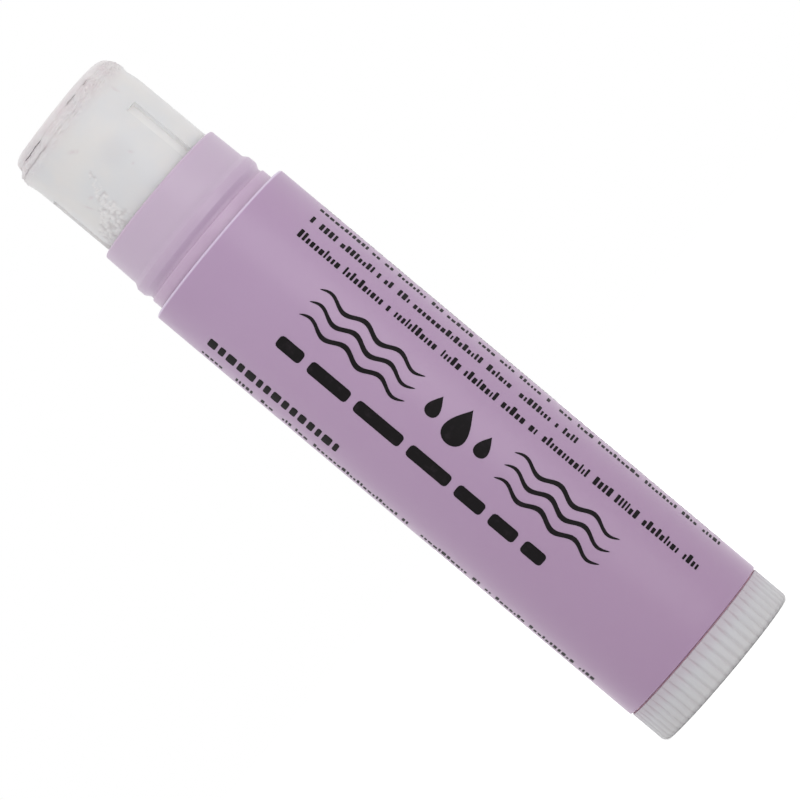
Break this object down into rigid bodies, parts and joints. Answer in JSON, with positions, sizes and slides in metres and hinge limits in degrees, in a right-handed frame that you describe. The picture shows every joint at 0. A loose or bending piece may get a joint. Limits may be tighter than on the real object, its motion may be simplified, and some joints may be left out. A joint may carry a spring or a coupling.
{
  "type": "stain remover pen",
  "caption": "Twist-up stick of clear stain remover soap in a round plastic tube; turning the ribbed dial at the foot winds the soap out of the necked top.",
  "frame": {"origin": "centre of the dial's underside, on which the stick stands", "axes": "+Z along the stick's axis, from the dial to the soap's tip; -Y towards the side that the picture shows"},
  "size_m": [0.016, 0.016, 0.0728],
  "materials": {
    "lilac_tube": "satin",
    "white_dial": "satin",
    "natural_cup": "satin",
    "clear_soap": "gloss"
  },
  "bodies": {
    "barrel_body": {"barrel": "lilac_tube"},
    "dial_body": {"dial_spindle": "white_dial"},
    "carrier_body": {"elevator": "natural_cup", "soap_stick": "clear_soap"}
  },
  "joints": [
    {"name": "dial_turn", "type": "hinge", "parent": "barrel_body", "child": "dial_body", "pos_m": [0, 0, 0], "axis": [0, 0, 1], "range_deg": [-739, 3286]},
    {"name": "elevator_lift", "type": "slide", "parent": "barrel_body", "child": "carrier_body", "axis": [0, 0, 1], "range_m": [-0.0082, 0.0365]}
  ],
  "couplings": [
    {"joint": "dial_turn", "follows": "elevator_lift", "rad_per_m": 1570.8}
  ]
}
